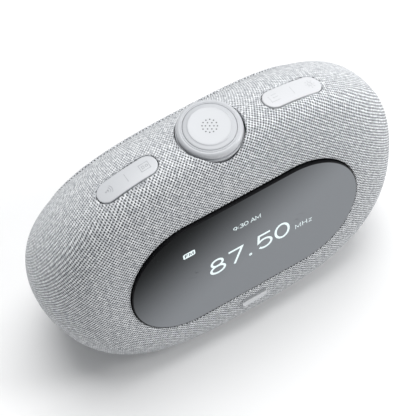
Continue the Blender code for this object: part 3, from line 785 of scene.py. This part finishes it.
FIGURES = {
    "0": [arc(0, 0.5, 0.33, 0.45, 90, 450, 48)],
    "8": [arc(0, 0.73, 0.27, 0.22, 270, 630, 40), arc(0, 0.28, 0.34, 0.235, 90, 450, 44)],
    "7": [line((-0.34, 0.95), (0.34, 0.95), (-0.12, 0.02))],
    "5": [join(line((0.32, 0.95), (-0.25, 0.95), (-0.30, 0.5)), arc(0.0, 0.33, 0.34, 0.29, 138, -145, 40))],
    "9": [arc(0, 0.66, 0.3, 0.29, 0, 360, 40), join(arc(-0.25, 0.62, 0.55, 0.6, 0, -60, 16))],
    "3": [join(arc(-0.03, 0.73, 0.28, 0.22, 150, -90, 26), arc(-0.03, 0.28, 0.33, 0.235, 90, -150, 26))],
    "A": [line((-0.36, 0), (0, 0.97), (0.36, 0)), line((-0.24, 0.32), (0.24, 0.32))],
    "M": [line((-0.42, 0), (-0.42, 0.95), (0, 0.2), (0.42, 0.95), (0.42, 0))],
    "H": [line((-0.34, 0), (-0.34, 1)), line((0.34, 0), (0.34, 1)), line((-0.34, 0.52), (0.34, 0.52))],
    "z": [line((-0.24, 0.66), (0.24, 0.66), (-0.24, 0.05), (0.26, 0.05))],
    "F": [line((-0.26, 0), (-0.26, 0.93), (0.3, 0.93)), line((-0.26, 0.5), (0.22, 0.5))],
    ".": [arc(0, 0.06, 0.02, 0.02, 0, 360, 9)],
    ":": [arc(0, 0.2, 0.005, 0.005, 0, 360, 9), arc(0, 0.62, 0.005, 0.005, 0, 360, 9)],
}


def ribbon(path, width):
    """Left and right edges of a flat stroke: the path plus and minus its mitred side direction."""
    step = np.diff(path, axis=0)
    step /= np.maximum(np.linalg.norm(step, axis=1, keepdims=True), 1e-9)
    closed = np.allclose(path[0], path[-1])
    before = np.concatenate([step[-1:] if closed else step[:1], step])
    after = np.concatenate([step, step[:1] if closed else step[-1:]])
    side = np.stack([-(before + after)[:, 1], (before + after)[:, 0]], -1)
    length = np.linalg.norm(side, axis=1, keepdims=True)
    side = side / np.maximum(length, 1e-9) * np.minimum(2 / np.maximum(length, 1e-9), 2.0)
    return path + side * width / 2, path - side * width / 2


def lettering(name, runs, material, slot, lift=0.06):
    """Every run is (text, x of the first figure's middle, foot, height, width scale, pitch, stroke)."""
    points, faces, count = [], [], 0
    for text, x, foot, height, wide, pitches, stroke in runs:
        for figure, centre in zip(text, x + np.concatenate([[0], np.cumsum(pitches)])):
            for path in FIGURES.get(figure, []):
                laid = path * [height * wide, height - stroke] + [centre, foot + stroke / 2]
                left, right_edge = ribbon(laid, stroke)
                strip = np.stack([left, right_edge], 1).reshape(-1, 2)
                points.append(np.concatenate([strip, np.full((len(strip), 1), lift)], -1))
                start = count + 2 * np.arange(len(path) - 1)[:, None]
                faces.append(start + np.array([0, 1, 3, 2]))
                count += len(strip)
    return piece(name, out_of(WINDOW, np.concatenate(points)), np.concatenate(faces), material, BODY, slot)


LIT = Finish("lit_figures", (0.30, 0.32, 0.32), 0.4)
LIT.set("Emission Color", (0.80, 0.94, 0.96))
LIT.set("Emission Strength", 0.80)
LIT.set("Roughness", LIT.noise(LIT.place(), 900.0) * 0.1 + 0.35)
big = ("87.50", -16.6, -8.7, 11.7, 0.94, [10.2, 7.6, 8.1, 9.9], 1.25)
clock = ("9:30 AM", -4.9, 14.8, 3.1, 1.0, [1.7, 1.7, 2.5, 1.7, 1.9, 2.9], 0.36)
units = ("MHz", 28.0, -7.4, 3.4, 1.0, [3.7, 3.1], 0.34)
lettering("lit_figures", [big, clock, units], LIT.material, "display_panel")


def soft_box(half_width, half_height, inset, height, count=96):
    """A box with round corners, as a superellipse of power 6: one ring of it at a height."""
    a = np.linspace(0, 2 * math.pi, count, endpoint=False)
    x, y = [np.sign(f(a)) * np.abs(f(a)) ** (1 / 3) for f in (np.cos, np.sin)]
    return np.stack([max(half_width - inset, 0) * x, max(half_height - inset, 0) * y, 0 * a + height], -1)


TAG = frame_of(out_of(WINDOW, np.array([-29.9, 16.1, 0.0])), WINDOW[1][0], WINDOW[1][1])
tag_rings = np.array([soft_box(3.2, 1.75, inset, 0.05) for inset in (3.2, 1.6, 0.8, 0.0)])
grid_piece("lit_tag", out_of(TAG, tag_rings), LIT.material, BODY, "display_panel", around_columns=True)
lettering("tag_letters", [("FM", -31.35, 14.9, 2.4, 1.05, [2.6], 0.42)], BAND, "display_panel", 0.10)

# %% [markdown]
# Under the window sits a small plain metal bar with a fine chamfer, pressed into the cloth.


# %% The metal bar
def bar_rings():
    """Rings of a round-cornered box: a flat face, a chamfer of 0.35 mm, and a straight wall."""
    steps = [(2.3, 1.1), (1.4, 1.1), (0.45, 1.1), (0.42, 1.1), (0.0, 0.72), (0.0, 0.68), (0.0, -0.3)]
    spot = drop(np.array([[0.0, -90.0, -33.4]]), np.array([0, 1.0, 0]))[0]
    outward = cloth_normal(spot[None])[0]
    place = frame_of(spot, np.array([1.0, 0, 0]), np.cross(outward, [1.0, 0, 0]))
    return out_of(place, np.array([soft_box(7.0, 2.3, inset, height) for inset, height in steps]))


BAR = brushed("satin_metal", (0.72, 0.73, 0.75), 0.30)
grid_piece("metal_bar", bar_rings(), BAR, BODY, "badge_plate", around_columns=True,
           replaces=("badge_plate",), angle=20.0)

# %% [markdown]
# ## The dial and its cap
# Both are turned, so each is a profile of (radius, height) carried round the dial's axis. The ring
# has two fine grooves on its shoulder, hair-fine ribs, a waist, and a thin flange over the well.


# %% Turn a profile
def turned_piece(name, profile, material, body, slot, count=240, ribs=0, rib_depth=0.0, ribbed=None, **more):
    """x = r cos t, y = r sin t + the dial's middle, z from the profile; ribs ride on r as a wave."""
    profile = np.array(profile, float)
    t = np.linspace(0, 2 * math.pi, count, endpoint=False)
    weight = np.zeros(len(profile)) if ribbed is None else np.clip(ribbed(profile[:, 1]), 0, 1)
    r = profile[:, :1] + rib_depth * weight[:, None] * np.cos(ribs * t)[None, :]
    z = np.broadcast_to(profile[:, 1:], r.shape)
    points = np.stack([r * np.cos(t), r * np.sin(t) + DIAL_Y, z], -1)
    return grid_piece(name, points, material, body, slot, around_columns=True, **more)


def satin(name, colour, roughness):
    """Pale painted plastic: a slight orange peel, a soft clear coat and a slow tone wander."""
    made = Finish(name, colour, roughness, Coat_Weight=0.25, Coat_Roughness=0.25)
    place = made.place()
    slow = made.noise(place, 45.0, 2.0)
    duller, brighter = tuple(c * 0.97 for c in colour), tuple(min(1, c * 1.02) for c in colour)
    made.set("Base Color", made.blend(slow, duller, brighter))
    made.set("Roughness", made.noise(place, 700.0) * 0.08 + (roughness - 0.04))
    made.bump(made.noise(place, 1500.0, 2.0), 0.000006)
    return made.material


PALE = satin("pale_satin", (0.575, 0.59, 0.615), 0.36)
shoulder = [(13.62 + 1.7 * math.sin(a), 64.2 + 2.0 * math.cos(a)) for a in np.linspace(0, math.pi / 2, 18)]
inside_wall = [(12.52, 62.5), (12.52, 66.1), (12.6, 66.34), (12.8, 66.4)]
grooves = [(12.92, 66.38), (12.98, 66.2), (13.06, 66.2), (13.12, 66.36), (13.34, 66.32), (13.42, 66.1),
           (13.5, 66.1)]
waist = [(15.34, 63.7), (15.3, 63.3), (15.1, 63.1), (14.7, 63.0), (14.5, 62.8), (14.5, 62.45), (14.8, 62.3)]
flange = [(15.5, 62.25), (15.68, 62.1), (15.72, 61.9), (15.72, 61.4), (15.6, 61.2), (15.2, 61.0),
          (15.2, 58.2)]
ring_profile = inside_wall + grooves + shoulder + waist + flange
turned_piece("dial_ring_ribbed", ring_profile, PALE, "dial", "dial_ring", 960, 160, 0.035,
             lambda z: (z > 63.4) * (65.9 - z) / 0.6, replaces=("dial_ring",), angle=50.0)
disc = [(0.0, 66.98), (3.0, 66.98), (6.0, 67.0), (8.6, 67.04), (9.6, 67.08), (9.8, 67.12), (9.92, 67.18)]
rim_line = [(10.05, 67.18), (10.18, 67.08), (10.3, 66.98), (10.8, 66.84), (11.4, 66.68), (11.95, 66.52)]
cap_edge = [(12.2, 66.42), (12.34, 66.3), (12.38, 66.1), (12.38, 64.5)]
turned_piece("press_cap_top", disc + rim_line + cap_edge, PALE, "press_cap", "snooze_cap", 240,
             replaces=("snooze_cap",), angle=50.0)
# The sound holes are flat grey discs laid a hair over the cap: painted shade, standing in for holes.
HOLE_SHADE = moulded("shadowed_pit", (0.16, 0.165, 0.175), 0.7)


def ring_of_places(radius, count):
    """Places spaced evenly round a circle, the first one straight ahead along the dial's pointer."""
    a = np.linspace(0, 2 * math.pi, count, endpoint=False) + AZIMUTH
    return np.stack([radius * np.cos(a), radius * np.sin(a)], -1)


pits = np.concatenate([np.zeros((1, 2)), ring_of_places(1.9, 6), ring_of_places(3.45, 12)])
q, t = np.meshgrid([0.0, 0.5, 0.8, 1.0], np.linspace(0, 2 * math.pi, 10, endpoint=False), indexing="ij")
bowl = np.stack([0.36 * q * np.cos(t), 0.36 * q * np.sin(t), 67.0 + 0.0 * q], -1).reshape(-1, 3)
centres = np.concatenate([pits + [0, DIAL_Y], np.full((len(pits), 1), 0.02)], -1)
pit_points = (bowl[None] + centres[:, None]).reshape(-1, 3)
pit_faces = quads_of(4, 10, around_columns=True)[None] + 40 * np.arange(len(pits))[:, None, None]
piece("cap_sound_holes", pit_points, pit_faces.reshape(-1, 4), HOLE_SHADE, "press_cap", "snooze_cap")

# %% [markdown]
# ## The rocker keys
# Each key is a flush pill that follows the cloth's curve. Its grid is the slot's rings dropped on
# the pebble and lifted a hair, with a rolled edge. The marks are fine raised ribs of the same
# rubber, coloured darker than the key: plain radio waves, a set, a list and a sun, with a short bar
# between each pair. Both keys are one rubber, but the left key and its marks are painted darker,
# painted shade, and the right ones lighter, painted light.

# %% Keys that follow the cloth
KEY_PROUD = 0.12
SUNK = 0.01  # a mark's edges start this far inside the key


def key_surface(side, flat, lift):
    """Points of a flat layout, dropped on the pebble along the key's own direction, then lifted."""
    place = KEYS[side]
    over = out_of(place, np.concatenate([flat, np.full((*flat.shape[:-1], 1), CLEAR_OVER)], -1))
    return drop(over, -place[1][2]) + place[1][2] * np.asarray(lift)[..., None]


def key_cap(side, material):
    """Rings from the middle line out, the last few on a quarter circle of 0.45 mm, then the wall."""
    roll = 0.45
    steps = [(KEY_RADIUS - d, 0.0) for d in np.linspace(0.0, KEY_RADIUS - roll, 9)]
    steps += [(roll * (1 - math.sin(a)), -roll * (1 - math.cos(a))) for a in np.linspace(0.2, math.pi / 2, 8)]
    steps += [(0.0, -1.0), (0.0, -2.4)]
    rings = []
    for inset, height in steps:
        flat = slot_loop(KEY_HALF, max(KEY_RADIUS - inset, 0.0), 120)
        rings.append(key_surface(side, flat, np.full(len(flat), KEY_PROUD + height)))
    return grid_piece(f"{side}_key_cap", np.array(rings), material, f"{side}_rocker", f"{side}_key",
                      around_columns=True, replaces=(f"{side}_key",), angle=50.0)


# One rubber in two tones: the left key darker for painted shade, the right one lighter for painted light.
LIT_AND_SHADED_KEY_RUBBER = {"left": satin("left_key_shaded_silicone", (0.64, 0.655, 0.68), 0.5),
              "right": satin("right_key_lit_silicone", (0.69, 0.70, 0.72), 0.5)}
MARKS = {
    "left": [arc(-10.6, 0, r, r, -42, 42, 12) for r in (1.0, 2.0, 3.0)]
    + [arc(-10.9, 0, 0.3, 0.3, 0, 360, 9), line((0, -2.3), (0, 2.3))]
    + [line((7.3, -1.9), (11.9, -1.9), (11.9, 1.9), (7.3, 1.9), (7.3, -1.9)),
       line((8.3, -0.7), (9.3, -0.7), (9.3, 0.7), (8.3, 0.7), (8.3, -0.7)),
       arc(10.7, 0, 0.6, 0.6, 0, 360, 12)],
    "right": [line((-12.2, 1.9), (-12.2, -1.9), (-7.9, -1.9)), line((-10.6, 0.2), (-7.9, 0.2)),
              line((-10.6, 1.9), (-7.9, 1.9)), line((0, -2.3), (0, 2.3))]
    + [arc(10.1, 0, 1.1, 1.1, 0, 360, 20)]
    + [line((10.1 + 1.7 * math.cos(a), 1.7 * math.sin(a)), (10.1 + 2.6 * math.cos(a), 2.6 * math.sin(a)))
       for a in np.linspace(0, 2 * math.pi, 8, endpoint=False)],
}


def key_marks(side, material, width=0.34, tall=0.10):
    """A raised rib along each line: five points across, the middle highest."""
    points, faces, count = [], [], 0
    for path in MARKS[side]:
        left, right_edge = ribbon(path, width)
        share = np.array([0, 0.2, 0.5, 0.8, 1.0])[:, None, None]
        flat = left * (1 - share) + right_edge * share
        lift = KEY_PROUD + tall * np.sqrt(np.clip(1 - (2 * share[..., 0] - 1) ** 2, 0, 1)) - SUNK
        solid = key_surface(side, flat, np.broadcast_to(lift, flat.shape[:-1]))
        points.append(solid.reshape(-1, 3))
        faces.append(quads_of(5, len(path)) + count)
        count += 5 * len(path)
    return piece(f"{side}_key_marks", np.concatenate(points), np.concatenate(faces), material,
                 f"{side}_rocker", f"{side}_key")


# The marks likewise: the left ones darker for painted shade, the right ones lighter for painted light.
LIT_AND_SHADED_MARK_RUBBER = {"left": satin("left_mark_shaded_silicone", (0.43, 0.445, 0.465), 0.45),
               "right": satin("right_mark_lit_silicone", (0.56, 0.575, 0.59), 0.45)}
for side, material in LIT_AND_SHADED_KEY_RUBBER.items():
    key_cap(side, material)
    key_marks(side, LIT_AND_SHADED_MARK_RUBBER[side])

# %% [markdown]
# ## The studio
# A pale sheet for a floor and a dim white room. A broad high light does most of the work, so the
# top is brightest and the front falls off. A smaller lamp from the right lifts that end and the dial.


# %% Floor, room and lights
def studio_floor():
    mesh = bpy.data.meshes.new("floor")
    mesh.from_pydata([(-6, -6, 0), (6, -6, 0), (6, 6, 0), (-6, 6, 0)], [], [(0, 1, 2, 3)])
    made = Finish("pale_paper", (0.93, 0.93, 0.93), 0.9)
    place = made.place()
    made.set("Base Color", made.blend(made.noise(place, 3.0), (0.92, 0.92, 0.92), (0.95, 0.95, 0.95)))
    mesh.materials.append(made.material)
    floor = bpy.data.objects.new("floor", mesh)
    bpy.context.scene.collection.objects.link(floor)


def lamp(name, kind, place, power, **settings):
    """A lamp that points at the object, with its settings."""
    data = bpy.data.lights.new(name, kind)
    data.energy = power
    for key, value in settings.items():
        setattr(data, key, value)
    made = bpy.data.objects.new(name, data)
    bpy.context.scene.collection.objects.link(made)
    made.location = place
    made.rotation_euler = (Vector((0, 0, 0.07)) - Vector(place)).to_track_quat("-Z", "Y").to_euler()


studio_floor()
room = bpy.data.worlds.new("white room")
room.use_nodes = True
backdrop = room.node_tree.nodes["Background"].inputs
backdrop["Color"].default_value = (0.97, 0.985, 1.0, 1.0)
backdrop["Strength"].default_value = 0.30
bpy.context.scene.world = room
lamp("high soft light", "SUN", (0.25, 0.45, 1.4), 2.5, angle=math.radians(50))
lamp("right soft light", "AREA", (0.85, -0.40, 0.50), 4.2, shape="DISK", size=0.35)
bpy.context.scene.view_settings.view_transform = "Standard"
